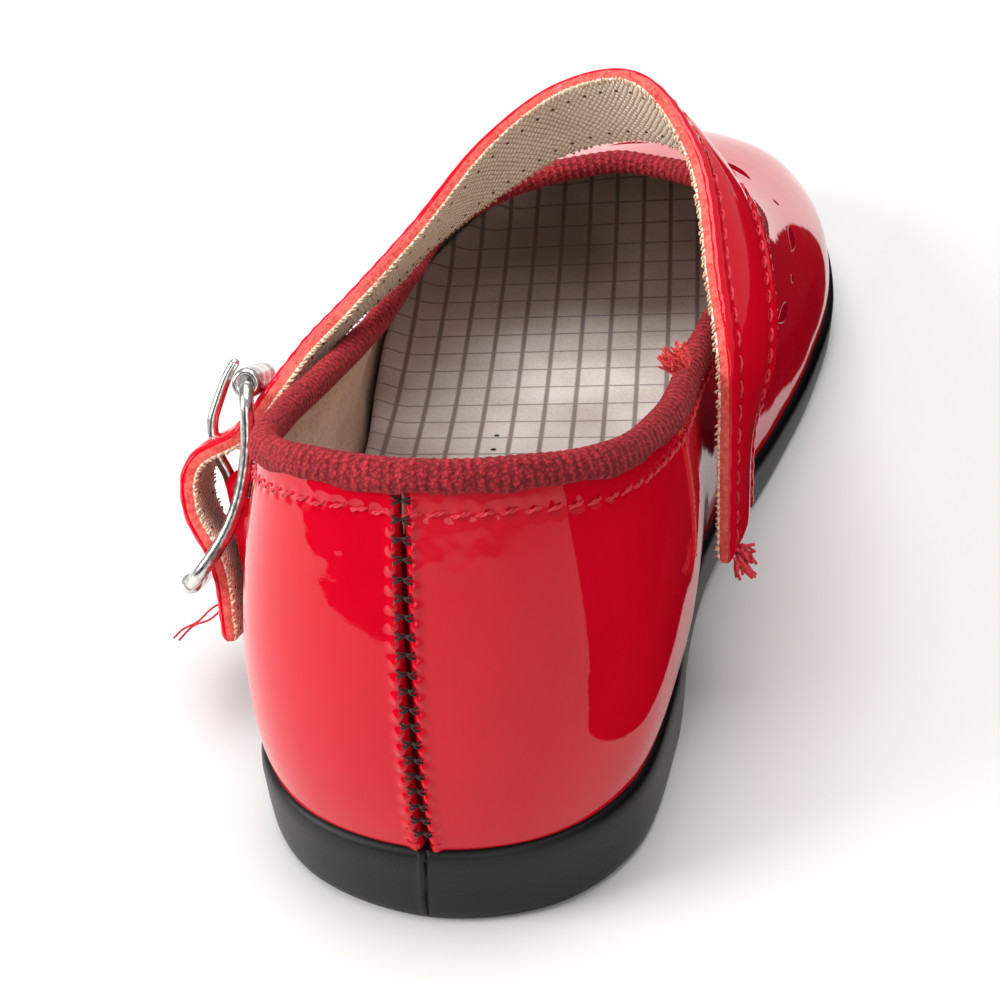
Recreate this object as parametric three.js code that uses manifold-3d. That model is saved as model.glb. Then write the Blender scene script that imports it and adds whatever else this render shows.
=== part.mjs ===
// A child's mary jane shoe for the left foot, empty and standing on its sole.
// Millimetres. The toe points to -Y, the outer (buckle) side is +X and up is +Z.
// The origin is the middle of the flat spot under the heel.
import * as THREE from "three";
import { mergeVertices } from "three/addons/utils/BufferGeometryUtils.js";
import Module from "manifold-3d";

const wasm = await Module();
wasm.setup();

// ---- Driving dimensions ----
const shoeLength = 162;
const heelBack = 26; // from the origin back to the rearmost point of the sole
const gap = 0.3; // between pieces that touch in the real shoe
const heelWall = 10; // height of the sole's side at the heel
const foreWall = 6.2; // and at the forefoot
const archRise = 2; // how far the waist of the sole clears the floor
const waistThinning = 1.2; // how much lower the sole's side is at the waist
const toeSpring = 6;
const springStart = 118; // from the heel's back to where the tread leaves the floor
const footInset = 0.7; // from the sole's edge in to the outside of the upper
const upperWall = 1.6;
const rimWall = 0.8; // the upper is skived thinner under its binding
const insoleThickness = 3.4;
const insoleCup = 1.2; // how far the insole's edge turns up
const bindingWidth = 2.4;
const bindingThickness = 0.7;
const strapThickness = 2.0;
const tabThickness = 1.3;
const tabWidth = 9.5;
const frameLength = 26;
const frameWidth = 18.5;
const wireRadius = 0.85; // of the frame's sides and its centre bar
const topRailRadius = 1.8; // its two end rails are thicker
const lowRailRadius = 1.2;
const topBow = 2.9; // how far the frame's ends bow out from the plane of its centre bar
const lowBow = 4.1;
const prongRadius = 0.8;
const grooveWidth = 2;
const grooveDepth = 1;

// How finely the shoe is faceted
const stationsRound = 88;
const rowsUp = 8;
const skiveFrom = 0.88; // the share of each rib above which the upper is skived

// A table's rows as objects, with the names from its first row.
function rowsOf([names, ...rows]) {
  return rows.map((row) => Object.fromEntries(names.map((name, i) => [name, row[i]])));
}

// One row for each section of the last, from the heel to the toe, with the outer and the inner side.
// along, outer and inner give the sole's edge. rimAlong, rimOuter and rimInner give the topline in
// plan, and outerRim and innerRim its height. Each rib of the upper bends towards a point at the
// height of its knee, which lies outside the sole's edge by outerFlare or innerFlare.
const sections = rowsOf([
  [
    ...["along", "outer", "inner", "rimAlong", "rimOuter", "rimInner", "outerRim", "innerRim"],
    ...["knee", "outerFlare", "innerFlare"],
  ],
  [0, 0, 0, 6.5, 0, 0, 53.8, 53.8, 26, 2.6, 2.6],
  [4, 14, 13, 9.5, 11, 11, 52.8, 53, 25, 2.4, 3.2],
  [13.5, 22, 20.2, 17, 17.8, 18.6, 49.4, 50.2, 24, 2.2, 4],
  [31, 24.8, 22, 31, 20.8, 22.2, 44, 46.4, 23, 2, 4.4],
  [50, 25.2, 20.8, 47, 20.7, 22.6, 39.6, 43.6, 22.5, 2, 4.6],
  [70, 27.4, 22.4, 64, 19.3, 23.8, 36.6, 41.4, 22, 1.6, 3.6],
  [90, 31.5, 26.2, 79, 18.6, 25, 35.4, 39.2, 20.5, 1, 2],
  [109, 34, 29, 92, 17.4, 23, 35, 37.6, 19, 0.6, 1],
  [128, 31.8, 29.6, 102, 12.4, 17.8, 34.6, 36.2, 18.6, 0.2, 0.4],
  [145, 24.2, 25.6, 108, 6, 11, 34.6, 35.4, 18.6, 0, 0],
  [157, 11, 17.6, 110.5, 0.6, 5.6, 34.8, 35, 18.8, -0.4, -0.4],
  [162, -4, 4, 111.2, -2.6, 2.6, 34.9, 34.9, 19, -0.6, -0.6],
]);

// One row for each bend of the strap, from its sewn end on the inner quarter over the instep to its
// free tip: where its heel-side edge and its toe-side edge lie.
const strapBends = rowsOf([
  ["heelX", "heelY", "heelZ", "toeX", "toeY", "toeZ"],
  [-25.2, -14, 21, -25.8, -27, 20],
  [-25.4, -15, 34, -26.4, -27.8, 31.4],
  [-25.2, -18, 44.6, -28.6, -29.2, 38.6],
  [-23.2, -25, 50.4, -28.4, -34, 43.4],
  [-18.8, -40, 58.6, -23.8, -46.8, 49],
  [-11, -49, 63.2, -13.8, -55.4, 52.2],
  [-3, -50.5, 61, -3, -57.4, 50],
  [5.4, -48, 55, 6.6, -55.6, 44.6],
  [13, -41, 46.8, 14.6, -51.3, 39.4],
  [19.3, -28.2, 42.6, 16.2, -41.8, 40],
  [22.6, -22.4, 40.4, 19.4, -32.2, 40],
  [24.9, -18.2, 38, 23.8, -29, 36],
  [29.3, -14.8, 32.9, 31.9, -26.2, 27],
  [34.1, -12.4, 30.5, 36.4, -23.8, 24.3],
  [34.1, -10.2, 26.8, 36.4, -21.7, 20.6],
  [30.8, -7.7, 21, 33, -19.2, 14.8],
  [29.2, -3.9, 12.8, 31.4, -15.4, 6.7],
]);

// ---- Places and outlines ----
const at = (along, across, height) => new THREE.Vector3(across, heelBack - along, height);

// A closed curve from the heel's back along the outer side to the toe and back along the inner side.
function around(outerPoint, innerPoint) {
  const outerSide = sections.map(outerPoint);
  const innerSide = sections.slice(1, -1).reverse().map(innerPoint);
  return new THREE.CatmullRomCurve3([...outerSide, ...innerSide], true, "centripetal");
}

const soleEdge = around(
  (row) => at(row.along, row.outer, 0),
  (row) => at(row.along, -row.inner, 0),
);
const rimLine = around(
  (row) => at(row.rimAlong, row.rimOuter, row.outerRim),
  (row) => at(row.rimAlong, -row.rimInner, row.innerRim),
);
const kneeLine = around(
  (row) => new THREE.Vector3(row.outerFlare, row.knee, row.along),
  (row) => new THREE.Vector3(row.innerFlare, row.knee, row.along),
);

// The sole's edge moved out by a distance, or in where the distance is below zero.
function edgePoint(u, outwards) {
  const share = THREE.MathUtils.euclideanModulo(u, 1);
  const point = soleEdge.getPoint(share);
  const tangent = soleEdge.getTangent(share);
  point.x -= tangent.y * outwards;
  point.y += tangent.x * outwards;
  return point;
}

function smooth(value, from, to) {
  return THREE.MathUtils.smoothstep(value, from, to);
}

// How far the waist of the sole has risen, from 0 at the heel and the ball to 1 under the arch.
function waist(along) {
  return smooth(along, 44, 60) * (1 - smooth(along, 66, 84));
}

// Height of the tread above the floor: flat at the heel and the ball, clear at the waist and the toe.
function treadHeight(y) {
  const along = heelBack - y;
  const spring = Math.max(0, (along - springStart) / (shoeLength - springStart));
  return archRise * waist(along) + toeSpring * spring ** 1.8;
}

function soleTop(y) {
  const along = heelBack - y;
  const wall = THREE.MathUtils.lerp(heelWall, foreWall, smooth(along, 30, 100));
  return treadHeight(y) + wall - waistThinning * waist(along);
}

// The outside of the upper: u runs round the shoe and v up each rib from the sole to the topline.
function upperSurface(u, v) {
  const foot = edgePoint(u, -footInset);
  foot.z = soleTop(foot.y) + gap;
  const { x: flare, y: kneeHeight } = kneeLine.getPoint(u);
  const knee = edgePoint(u, flare);
  knee.z = kneeHeight;
  const top = rimLine.getPoint(u);
  const footShare = (1 - v) ** 2;
  const kneeShare = 2 * v * (1 - v);
  return foot
    .multiplyScalar(footShare)
    .addScaledVector(knee, kneeShare)
    .addScaledVector(top, v * v);
}

function upperNormal(u, v) {
  const step = 0.002;
  const low = Math.max(0, v - step);
  const high = Math.min(1, v + step);
  const round = upperSurface(u + step, v).sub(upperSurface(u - step, v));
  const up = upperSurface(u, high).sub(upperSurface(u, low));
  return up.cross(round).normalize();
}

const wallAt = (v) => (v < skiveFrom ? upperWall : rimWall);

// A point off the upper's outside, moved out along its normal.
function offUpper(u, v, outwards) {
  return upperSurface(u, v).addScaledVector(upperNormal(u, v), outwards);
}

function ribLength(u) {
  let length = 0;
  for (let i = 0; i < 8; i += 1) {
    length += upperSurface(u, i / 8).distanceTo(upperSurface(u, (i + 1) / 8));
  }
  return length;
}

// ---- Solids from rings of points ----
function solidFrom(positions, indices) {
  const geometry = new THREE.BufferGeometry();
  geometry.setAttribute("position", new THREE.Float32BufferAttribute(positions, 3));
  geometry.setIndex(indices);
  return geometry;
}

function signedVolume(positions, indices) {
  const [a, b, c] = [new THREE.Vector3(), new THREE.Vector3(), new THREE.Vector3()];
  let volume = 0;
  for (let i = 0; i < indices.length; i += 3) {
    a.fromArray(positions, indices[i] * 3);
    b.fromArray(positions, indices[i + 1] * 3);
    c.fromArray(positions, indices[i + 2] * 3);
    volume += a.dot(b.cross(c)) / 6;
  }
  return volume;
}

// Skins rings of equally many points. A looped skin joins the last ring to the first; another one is
// closed at both ends by rungs from one side of the end ring to the other.
function skin(rings, looped) {
  const count = rings[0].length;
  const positions = rings.flat().flatMap((point) => point.toArray());
  const indices = [];
  const joins = looped ? rings.length : rings.length - 1;
  for (let k = 0; k < joins; k += 1) {
    const here = k * count;
    const next = ((k + 1) % rings.length) * count;
    for (let i = 0; i < count; i += 1) {
      const j = (i + 1) % count;
      indices.push(here + i, here + j, next + j, here + i, next + j, next + i);
    }
  }
  if (!looped) {
    const lastRing = (rings.length - 1) * count;
    for (let i = 0; i < count / 2; i += 1) {
      const [a, b, c, d] = [i, i + 1, count - i - 1, (count - i) % count];
      if (b !== c) {
        indices.push(a, c, b, lastRing + a, lastRing + b, lastRing + c);
      }
      if (a !== d) {
        indices.push(a, d, c, lastRing + a, lastRing + c, lastRing + d);
      }
    }
  }
  if (signedVolume(positions, indices) < 0) {
    indices.reverse();
  }
  return solidFrom(positions, indices);
}

function toManifold(geometry) {
  const bare = geometry.clone();
  bare.deleteAttribute("normal");
  bare.deleteAttribute("uv");
  const merged = mergeVertices(bare, 1e-4);
  const vertProperties = new Float32Array(merged.attributes.position.array);
  const triVerts = new Uint32Array(merged.index.array);
  return new wasm.Manifold(new wasm.Mesh({ numProp: 3, vertProperties, triVerts }));
}

function toGeometry(manifold) {
  const { vertProperties, triVerts } = manifold.getMesh();
  return solidFrom(Array.from(vertProperties), Array.from(triVerts));
}

function roundStations(pointAt) {
  return Array.from({ length: stationsRound }, (_, i) => pointAt(i / stationsRound));
}

function finish(name, geometry, colour, roughness, metalness) {
  const material = new THREE.MeshStandardMaterial({ color: colour, roughness, metalness });
  const shaded = geometry.index ? geometry.toNonIndexed() : geometry;
  shaded.computeVertexNormals();
  const mesh = new THREE.Mesh(shaded, material);
  mesh.name = name;
  return mesh;
}

// ---- Outsole: one moulded unit with a rounded side and shallow grooves across its tread ----
function soleRing(outwards, share) {
  return roundStations((u) => {
    const point = edgePoint(u, outwards);
    const low = treadHeight(point.y);
    point.z = THREE.MathUtils.lerp(low, soleTop(point.y), share);
    return point;
  });
}

function makeOutsole() {
  const side = [
    { out: -1.4, share: 0 },
    { out: -0.5, share: 0.1 },
    { out: -0.2, share: 0.42 },
    { out: 0, share: 0.8 },
    { out: -0.25, share: 0.95 },
    { out: -0.8, share: 1 },
  ];
  let sole = toManifold(skin(side.map((step) => soleRing(step.out, step.share)), false));
  const grooves = [
    { first: 12, last: 36, pitch: 8, inner: 15, outer: 15 },
    { first: 88, last: 116, pitch: 7, inner: 20, outer: 23 },
  ];
  for (const { first, last, pitch, inner, outer } of grooves) {
    for (let along = first; along <= last; along += pitch) {
      const bar = new THREE.BoxGeometry(inner + outer, grooveWidth, 2 * grooveDepth);
      bar.translate((outer - inner) / 2, heelBack - along, 0);
      sole = sole.subtract(toManifold(bar));
    }
  }
  return toGeometry(sole);
}

// ---- Insole: a cupped sock that fills the floor of the shoe, inside the upper's wall ----
// Where a surface inside the upper, that far in from its outside, reaches a height.
function insideAt(u, inwards, height) {
  let low = 0;
  let high = 0.6;
  for (let i = 0; i < 14; i += 1) {
    const middle = (low + high) / 2;
    if (offUpper(u, middle, -inwards).z < height) {
      low = middle;
    } else {
      high = middle;
    }
  }
  return offUpper(u, low, -inwards);
}

function insoleRing(inwards, height) {
  return roundStations((u) => {
    const floor = upperSurface(u, 0).z;
    const edge = insideAt(u, upperWall + 1.5 * gap, floor + height);
    const inwardsOf = edgePoint(u, -1).sub(edgePoint(u, 0));
    edge.addScaledVector(inwardsOf, inwards);
    edge.z = floor + height;
    return edge;
  });
}

function makeInsole() {
  const rings = [
    insoleRing(1.4, 0),
    insoleRing(0.2, 1.6),
    insoleRing(0.1, insoleThickness + insoleCup),
    insoleRing(1.2, insoleThickness + insoleCup),
    insoleRing(5, insoleThickness),
  ];
  return skin(rings, false);
}

// ---- Upper: a hollow wall of ribs, open at the collar, the throat and underneath ----
function makeUpper() {
  // The rows lie closer together near the sole, where each rib bends most.
  const heights = Array.from({ length: rowsUp }, (_, i) => 0.84 * (i / (rowsUp - 1)) ** 1.4);
  heights.push(skiveFrom, 0.94, 1);
  const outside = heights.map((v) => roundStations((u) => upperSurface(u, v)));
  const inside = heights.map((v) =>
    roundStations((u) => {
      const point = offUpper(u, v, -wallAt(v));
      if (v === 0) {
        point.z = upperSurface(u, 0).z;
      }
      return point;
    }),
  );
  return skin([...outside, ...inside.reverse()], true);
}

// ---- Topline binding: a tape folded over the upper's edge, all round the collar and the throat ----
function makeBinding() {
  const out = gap + bindingThickness;
  const rings = Array.from({ length: stationsRound }, (_, i) => {
    const u = i / stationsRound;
    const length = ribLength(u);
    const low = 1 - bindingWidth / length;
    const up = upperSurface(u, 1).sub(upperSurface(u, 0.97)).normalize();
    const leg = (lowOffset, topOffset) => [
      offUpper(u, low, lowOffset),
      offUpper(u, 1, topOffset).addScaledVector(up, gap),
    ];
    const middle = offUpper(u, 1, -rimWall / 2);
    const normal = upperNormal(u, 1);
    const crown = (across, rise) =>
      middle.clone().addScaledVector(normal, across).addScaledVector(up, rise);
    return [
      ...leg(out, out),
      crown(0.9, gap + 0.5),
      crown(0, gap + bindingThickness),
      crown(-0.9, gap + 0.5),
      ...leg(-wallAt(low) - out, -rimWall - out).reverse(),
      ...leg(-wallAt(low) - gap, -rimWall - gap),
      ...leg(gap, gap).reverse(),
    ];
  });
  return skin(rings, true);
}

// ---- Strap: a flat band with a square cut edge, swept along its two edges ----
function strapCurve(x, y, z) {
  const points = strapBends.map((row) => new THREE.Vector3(row[x], row[y], row[z]));
  return new THREE.CatmullRomCurve3(points, false, "centripetal");
}

const heelSideEdge = strapCurve("heelX", "heelY", "heelZ");
const toeSideEdge = strapCurve("toeX", "toeY", "toeZ");

// The strap's inner face at t along it and s across it, and its outward normal there.
function strapFrame(t, s) {
  const step = 0.004;
  const heelSide = heelSideEdge.getPoint(t);
  const toeSide = toeSideEdge.getPoint(t);
  const across = toeSide.clone().sub(heelSide);
  const lineAt = (share) => {
    const held = THREE.MathUtils.clamp(share, 0, 1);
    return heelSideEdge.getPoint(held).lerp(toeSideEdge.getPoint(held), s);
  };
  const normal = across.cross(lineAt(t + step).sub(lineAt(t - step))).normalize();
  return { point: heelSide.lerp(toeSide, s), normal };
}

function makeStrap(prongTunnel) {
  const steps = 52;
  const rings = Array.from({ length: steps + 1 }, (_, i) => {
    const t = i / steps;
    const corner = (s, lift) => {
      const { point, normal } = strapFrame(t, s);
      return point.addScaledVector(normal, lift);
    };
    return [corner(0, 0), corner(1, 0), corner(1, strapThickness), corner(0, strapThickness)];
  });
  return toGeometry(toManifold(skin(rings, false)).subtract(prongTunnel));
}

// ---- Buckle: placed by a frame of its own at the middle of its centre bar ----
// down runs along the strap, ahead across it towards the toe, out away from the quarter.
const buckleCentre = new THREE.Vector3(30.2, -17.8, 25.1);
// The buckle's toe side stands off the quarter, which widens towards the ball.
const buckleSplay = THREE.MathUtils.degToRad(10);
const down = new THREE.Vector3(0.2, 0.5, -0.85).normalize();
const out = new THREE.Vector3(1, 0, 0)
  .addScaledVector(down, -down.x)
  .normalize()
  .applyAxisAngle(down, -buckleSplay);
const ahead = new THREE.Vector3().crossVectors(down, out).normalize();
const buckleBasis = new THREE.Matrix4().makeBasis(ahead, down, out).setPosition(buckleCentre);

// Local buckle coordinates: x ahead, y down and z out.
const inBuckle = (x, y, z) => new THREE.Vector3(x, y, z).applyMatrix4(buckleBasis);

function tube(points, radius, sides, looped) {
  const curve = new THREE.CatmullRomCurve3(points, looped, "centripetal");
  const steps = looped ? points.length * 2 : points.length * 3;
  const frames = curve.computeFrenetFrames(steps, looped);
  const ringCount = looped ? steps : steps + 1;
  const rings = Array.from({ length: ringCount }, (_, k) => {
    const centre = curve.getPointAt(k / steps);
    return Array.from({ length: sides }, (_, i) => {
      const angle = (2 * Math.PI * i) / sides;
      return centre
        .clone()
        .addScaledVector(frames.normals[k], radius * Math.cos(angle))
        .addScaledVector(frames.binormals[k], radius * Math.sin(angle));
    });
  });
  return skin(rings, looped);
}

// The frame's wire bows outwards towards its two ends.
const bow = (y) => (y < 0 ? topBow : lowBow) * (y / (frameLength / 2)) ** 2;

function makeBuckleFrame() {
  const halfWidth = frameWidth / 2 - wireRadius;
  const halfLength = frameLength / 2 - wireRadius;
  const corner = 3.2;
  const points = [];
  for (let quarter = 0; quarter < 4; quarter += 1) {
    const signX = quarter === 0 || quarter === 3 ? 1 : -1;
    const signY = quarter < 2 ? 1 : -1;
    for (let k = 0; k <= 2; k += 1) {
      const angle = ((quarter + k / 2) * Math.PI) / 2;
      const x = signX * (halfWidth - corner) + corner * Math.cos(angle);
      const y = signY * (halfLength - corner) + corner * Math.sin(angle);
      points.push(inBuckle(x, y, bow(y)));
    }
    const isEnd = quarter % 2 === 0;
    const midY = isEnd ? signY * halfLength : 0;
    const midX = isEnd ? 0 : -halfWidth;
    points.push(inBuckle(quarter === 3 ? halfWidth : midX, midY, bow(midY)));
  }
  const rail = (y, reach, radius) => {
    const line = [-reach, 0, reach].map((x) => inBuckle(x, y, bow(y)));
    return toManifold(tube(line, radius, 8, false));
  };
  return toGeometry(
    toManifold(tube(points, wireRadius, 8, true))
      .add(rail(0, halfWidth, wireRadius))
      .add(rail(-halfLength, halfWidth - corner / 2, topRailRadius))
      .add(rail(halfLength, halfWidth - corner / 2, lowRailRadius)),
  );
}

// The prong turns once round the centre bar, goes out through the strap and rests on the top rail.
const prongPath = [
  inBuckle(0, 1.7, 0.5),
  inBuckle(0, 1.2, 1.8),
  inBuckle(0, -0.6, 3),
  inBuckle(0, -3, 5),
  inBuckle(0, -6, 6.2),
  inBuckle(0, -9, 6.1),
  inBuckle(0, -12, 5.7),
  inBuckle(0, -14, 5.1),
];

const prongTunnel = toManifold(tube(prongPath, prongRadius + gap + 0.1, 8, false));

// ---- Buckle tab: a strip looped round the centre bar, its two ends sewn to the outer quarter ----
function makeTab() {
  const ringInner = wireRadius + gap;
  const ringOuter = ringInner + tabThickness;
  const reach = 13.5;
  const profile = new THREE.Shape();
  profile.absarc(0, 0, ringOuter, Math.PI, 2 * Math.PI, false);
  profile.lineTo(ringOuter - 1.6, 3.4);
  profile.lineTo(-3.6, reach);
  profile.lineTo(-5.8, reach);
  profile.closePath();
  const eye = new THREE.Path();
  eye.absarc(0, 0, ringInner, 0, 2 * Math.PI, false);
  profile.holes.push(eye);
  const settings = { depth: tabWidth, bevelEnabled: false, curveSegments: 8 };
  const strip = new THREE.ExtrudeGeometry(profile, settings);
  // The profile's x is out of the quarter and its y runs down the strap.
  const basis = new THREE.Matrix4().makeBasis(out, down, ahead.clone().negate());
  strip.applyMatrix4(basis);
  const start = buckleCentre.clone().addScaledVector(ahead, tabWidth / 2);
  strip.translate(start.x, start.y, start.z);
  const slot = new THREE.BoxGeometry(3 * prongRadius + 2 * gap, 9, 9);
  slot.translate(0, 0, 3.4);
  slot.applyMatrix4(buckleBasis);
  return toGeometry(toManifold(strip).subtract(toManifold(slot)));
}

const group = new THREE.Group();
group.add(
  finish("outsole", makeOutsole(), "#191b1e", 0.45, 0),
  finish("insole", makeInsole(), "#8f827b", 0.85, 0),
  finish("upper", makeUpper(), "#d4001f", 0.08, 0),
  finish("topline_binding", makeBinding(), "#9c1f22", 0.8, 0),
  finish("strap", makeStrap(prongTunnel), "#d4001f", 0.1, 0),
  finish("buckle_tab", makeTab(), "#d4001f", 0.1, 0),
  finish("buckle_frame", makeBuckleFrame(), "#b9bcbf", 0.25, 1),
  finish("buckle_prong", tube(prongPath, prongRadius, 8, false), "#b9bcbf", 0.25, 1),
);
export default group;
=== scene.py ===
import math
import random

import bpy
import numpy as np
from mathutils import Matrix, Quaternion, Vector


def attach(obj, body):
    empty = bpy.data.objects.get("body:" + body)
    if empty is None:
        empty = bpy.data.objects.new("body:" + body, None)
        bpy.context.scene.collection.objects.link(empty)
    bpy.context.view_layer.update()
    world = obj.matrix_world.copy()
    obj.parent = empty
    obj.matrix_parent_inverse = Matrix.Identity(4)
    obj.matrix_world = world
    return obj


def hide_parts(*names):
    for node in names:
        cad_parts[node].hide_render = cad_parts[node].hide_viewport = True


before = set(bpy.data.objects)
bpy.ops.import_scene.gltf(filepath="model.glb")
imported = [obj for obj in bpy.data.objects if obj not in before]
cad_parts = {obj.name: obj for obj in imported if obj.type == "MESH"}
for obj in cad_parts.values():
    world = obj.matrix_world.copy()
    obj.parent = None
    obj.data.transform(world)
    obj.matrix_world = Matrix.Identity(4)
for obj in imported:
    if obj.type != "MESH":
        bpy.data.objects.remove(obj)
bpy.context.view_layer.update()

# A child's mary jane for the left foot. Sizes below are in millimetres, in the frame's axes:
# the toe points to -Y, the buckle side is +X, and the floor is Z = 0.
MM = 0.001

# ---- The last, as the frame has it ----
SHOE_LENGTH = 162
HEEL_BACK = 26
GAP = 0.3
HEEL_WALL = 10
FORE_WALL = 6.2
ARCH_RISE = 2
WAIST_THINNING = 1.2
TOE_SPRING = 6
SPRING_START = 118
FOOT_INSET = 0.7
UPPER_WALL = 1.6
RIM_WALL = 0.8
SKIVE_FROM = 0.88
INSOLE_THICKNESS = 3.4
STRAP_THICKNESS = 2.0
FRAME_LENGTH = 26
FRAME_WIDTH = 18.5
WIRE_RADIUS = 0.85
TOP_RAIL_RADIUS = 1.8
LOW_RAIL_RADIUS = 1.2
TOP_BOW = 2.9
LOW_BOW = 4.1

# What only the looks have
BINDING_DROP = 1.95
ROW_DROP = 4.2
RIB_PITCH = 1.1
SEAM_PITCH = 2.05
SEAM_START = 2.7
STITCH_PITCH = 2.4
PERFORATION_PITCH = 17.5
PERFORATION_DROP = 16.5
TEARDROP_LENGTH = 6.4
TEARDROP_BREADTH = 3.9
TEARDROP_TURN = math.radians(16)
STRAP_WIDTH = 13.0
STRAP_ROW_INSET = 2.2
FILM_DEPTH = 0.02
GROOVE_SIZE = 2
# Rows of grooves in the tread: first and last one along the sole, pitch, reach inwards and outwards
GROOVE_ROWS = [(12, 36, 8, 15, 15), (88, 116, 7, 20, 23)]

SECTION_NAMES = ("along outer inner rim_along rim_outer rim_inner outer_rim inner_rim "
                 "knee outer_flare inner_flare").split()
SECTIONS = np.array([
    [0, 0, 0, 6.5, 0, 0, 53.8, 53.8, 26, 2.6, 2.6],
    [4, 14, 13, 9.5, 11, 11, 52.8, 53, 25, 2.4, 3.2],
    [13.5, 22, 20.2, 17, 17.8, 18.6, 49.4, 50.2, 24, 2.2, 4],
    [31, 24.8, 22, 31, 20.8, 22.2, 44, 46.4, 23, 2, 4.4],
    [50, 25.2, 20.8, 47, 20.7, 22.6, 39.6, 43.6, 22.5, 2, 4.6],
    [70, 27.4, 22.4, 64, 19.3, 23.8, 36.6, 41.4, 22, 1.6, 3.6],
    [90, 31.5, 26.2, 79, 18.6, 25, 35.4, 39.2, 20.5, 1, 2],
    [109, 34, 29, 92, 17.4, 23, 35, 37.6, 19, 0.6, 1],
    [128, 31.8, 29.6, 102, 12.4, 17.8, 34.6, 36.2, 18.6, 0.2, 0.4],
    [145, 24.2, 25.6, 108, 6, 11, 34.6, 35.4, 18.6, 0, 0],
    [157, 11, 17.6, 110.5, 0.6, 5.6, 34.8, 35, 18.8, -0.4, -0.4],
    [162, -4, 4, 111.2, -2.6, 2.6, 34.9, 34.9, 19, -0.6, -0.6],
])
LAST = {name: SECTIONS[:, column] for column, name in enumerate(SECTION_NAMES)}

# The strap's two edges at each of its bends: heel side x, y, z and toe side x, y, z.
STRAP_BENDS = np.array([
    [-25.2, -14, 21, -25.8, -27, 20],
    [-25.4, -15, 34, -26.4, -27.8, 31.4],
    [-25.2, -18, 44.6, -28.6, -29.2, 38.6],
    [-23.2, -25, 50.4, -28.4, -34, 43.4],
    [-18.8, -40, 58.6, -23.8, -46.8, 49],
    [-11, -49, 63.2, -13.8, -55.4, 52.2],
    [-3, -50.5, 61, -3, -57.4, 50],
    [5.4, -48, 55, 6.6, -55.6, 44.6],
    [13, -41, 46.8, 14.6, -51.3, 39.4],
    [19.3, -28.2, 42.6, 16.2, -41.8, 40],
    [22.6, -22.4, 40.4, 19.5, -32, 39.5],
    [24.9, -18.2, 38, 23.2, -29, 35.8],
    [29.3, -14.8, 32.9, 31.9, -26.2, 27],
    [34.1, -12.4, 30.5, 36.4, -23.8, 24.3],
    [34.1, -10.2, 26.8, 36.4, -21.7, 20.6],
    [30.8, -7.7, 21, 33, -19.2, 14.8],
    [29.2, -3.9, 12.8, 31.4, -15.4, 6.7],
])


# ---- Curves and surfaces ----
class SmoothCurve:
    """A centripetal spline through points, open or closed, read at shares from 0 to 1."""

    def __init__(self, points, closed):
        points = np.asarray(points, float)
        self.closed = closed
        self.spans = len(points) if closed else len(points) - 1
        if closed:
            padded = np.vstack([points[-1:], points, points[:2]])
        else:
            start = 2 * points[:1] - points[1:2]
            end = 2 * points[-1:] - points[-2:-1]
            padded = np.vstack([start, points, end])
        self.corners = [padded[i:i + self.spans] for i in range(4)]

    def at(self, share):
        share = np.asarray(share, float)
        share = np.mod(share, 1) if self.closed else np.clip(share, 0, 1)
        place = share * self.spans
        span = np.minimum(place.astype(int), self.spans - 1)
        along = (place - span)[..., None]
        a, b, c, d = (corner[span] for corner in self.corners)
        first, middle, last = (
            np.maximum(np.sqrt(np.linalg.norm(q - p, axis=-1, keepdims=True)), 1e-4)
            for p, q in ((a, b), (b, c), (c, d))
        )
        leave = ((b - a) / first - (c - a) / (first + middle) + (c - b) / middle) * middle
        arrive = ((c - b) / middle - (d - b) / (middle + last) + (d - c) / last) * middle
        cubic = 2 * b - 2 * c + leave + arrive
        square = -3 * b + 3 * c - 2 * leave - arrive
        return b + along * (leave + along * (square + along * cubic))


def around(outer_columns, inner_columns):
    outer = np.stack(outer_columns, axis=-1)
    inner = np.stack(inner_columns, axis=-1)
    return SmoothCurve(np.vstack([outer, inner[1:-1][::-1]]), True)


FLAT = np.zeros(len(SECTIONS))
SOLE_EDGE = around(
    (LAST["outer"], HEEL_BACK - LAST["along"], FLAT),
    (-LAST["inner"], HEEL_BACK - LAST["along"], FLAT),
)
RIM_LINE = around(
    (LAST["rim_outer"], HEEL_BACK - LAST["rim_along"], LAST["outer_rim"]),
    (-LAST["rim_inner"], HEEL_BACK - LAST["rim_along"], LAST["inner_rim"]),
)
KNEE_LINE = around(
    (LAST["outer_flare"], LAST["knee"], LAST["along"]),
    (LAST["inner_flare"], LAST["knee"], LAST["along"]),
)


def smooth(value, low, high):
    share = np.clip((np.asarray(value, float) - low) / (high - low), 0, 1)
    return share * share * (3 - 2 * share)


def unit(vectors):
    return vectors / np.maximum(np.linalg.norm(vectors, axis=-1, keepdims=True), 1e-9)


def edge_point(u, outwards):
    """The sole's edge moved out by a distance."""
    step = 1e-4
    point = SOLE_EDGE.at(u).copy()
    tangent = unit(SOLE_EDGE.at(u + step) - SOLE_EDGE.at(u - step))
    point[..., 0] -= tangent[..., 1] * outwards
    point[..., 1] += tangent[..., 0] * outwards
    return point


def waist(along):
    return smooth(along, 44, 60) * (1 - smooth(along, 66, 84))


def tread_height(y):
    along = HEEL_BACK - y
    spring = np.maximum(0, (along - SPRING_START) / (SHOE_LENGTH - SPRING_START))
    return ARCH_RISE * waist(along) + TOE_SPRING * spring ** 1.8


def sole_top(y):
    along = HEEL_BACK - y
    wall = HEEL_WALL + (FORE_WALL - HEEL_WALL) * smooth(along, 30, 100)
    return tread_height(y) + wall - WAIST_THINNING * waist(along)


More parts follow.
